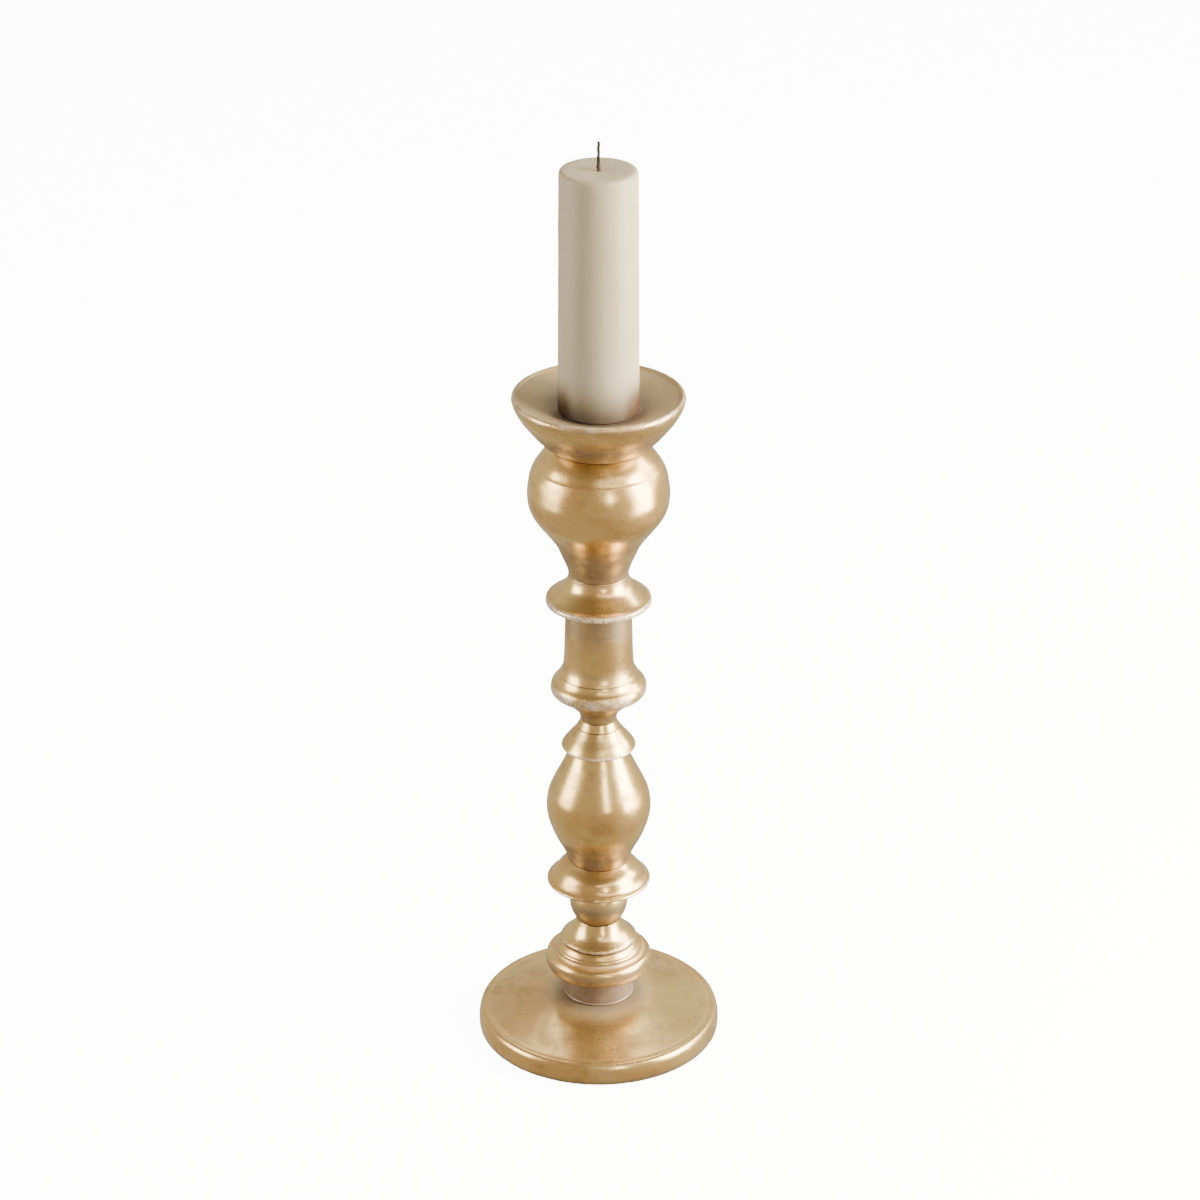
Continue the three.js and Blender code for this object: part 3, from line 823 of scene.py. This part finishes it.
def surroundings():
    """A pale room seen in the metal: brighter behind the stem and to the right, dimmer above and below."""
    world = bpy.data.worlds.new("room")
    bpy.context.scene.world = world
    world.use_nodes = True
    tree = world.node_tree
    coordinates = tree.nodes.new("ShaderNodeTexCoord")
    split = tree.nodes.new("ShaderNodeSeparateXYZ")
    tree.links.new(coordinates.outputs["Generated"], split.inputs[0])

    def fade(axis, *limits):
        node = tree.nodes.new("ShaderNodeMapRange")
        node.interpolation_type = "SMOOTHSTEP"
        tree.links.new(split.outputs[axis], node.inputs["Value"])
        for value, socket in zip(limits, list(node.inputs)[1:5]):
            socket.default_value = value
        return node.outputs["Result"]

    def combine(operation, a, b):
        node = tree.nodes.new("ShaderNodeMath")
        node.operation = operation
        tree.links.new(a, node.inputs[0])
        tree.links.new(b, node.inputs[1])
        return node.outputs[0]

    walls = fade("Y", -0.5, 0.8, ROOM_FRONT, ROOM_BACK)
    walls = combine("MULTIPLY", walls, fade("Z", -0.35, 0.15, ROOM_BELOW, 1.0))
    walls = combine("MULTIPLY", walls, fade("Z", 0.45, 0.90, 1.0, ROOM_ABOVE))
    level = combine("ADD", walls, fade("X", 0.2, 0.95, 0.0, ROOM_RIGHT))
    tint = tree.nodes.new("ShaderNodeMix")
    tint.data_type = "RGBA"
    tree.links.new(fade("Y", -0.5, 0.5, 0.0, 1.0), tint.inputs["Factor"])
    tint.inputs[6].default_value = (*ROOM_FRONT_COLOUR, 1.0)
    tint.inputs[7].default_value = (*ROOM_BACK_COLOUR, 1.0)
    background = tree.nodes["Background"]
    tree.links.new(tint.outputs[2], background.inputs["Color"])
    tree.links.new(level, background.inputs["Strength"])


def floor():
    """A plain pale floor that glows as a brightly lit studio sweep does, and isn't mirrored in the stem."""
    verts = [(x * FLOOR_REACH, y * FLOOR_REACH, 0) for x, y in ((-1, -1), (1, -1), (1, 1), (-1, 1))]
    sweep = mesh_object("floor", verts, [(0, 1, 2, 3)], {})
    material = bpy.data.materials.new("floor")
    material.use_nodes = True
    surface = material.node_tree.nodes["Principled BSDF"]
    surface.inputs["Base Color"].default_value = (0.8, 0.8, 0.8, 1)
    surface.inputs["Roughness"].default_value = 0.9
    surface.inputs["Emission Color"].default_value = (1.0, 0.99, 1.0, 1)
    surface.inputs["Emission Strength"].default_value = FLOOR_GLOW
    sweep.data.materials.append(material)
    sweep.visible_diffuse = False
    sweep.visible_glossy = False


camera()
# Name, azimuth and elevation in degrees, distance, width and height in metres, and power in watts.
softbox("right_window", 76, 13, 1.2, 0.68, 1.1, 66)
softbox("far_right_window", 108, 26, 2.4, 0.80, 1.0, 48)
softbox("right_gap", 19, 16, 2.6, 0.30, 1.1, 14)
softbox("left_window", -79, 12, 1.2, 0.60, 0.8, 16)
softbox("ceiling_strip", 28, 43, 2.6, 2.2, 0.20, 9)
softbox("overhead", 180, 52, 2.4, 1.2, 1.0, 11)
softbox("key", 76, 20, 2.4, 1.0, 1.4, 185, colour=WARM_DAYLIGHT, mirrored=False)
surroundings()
floor()
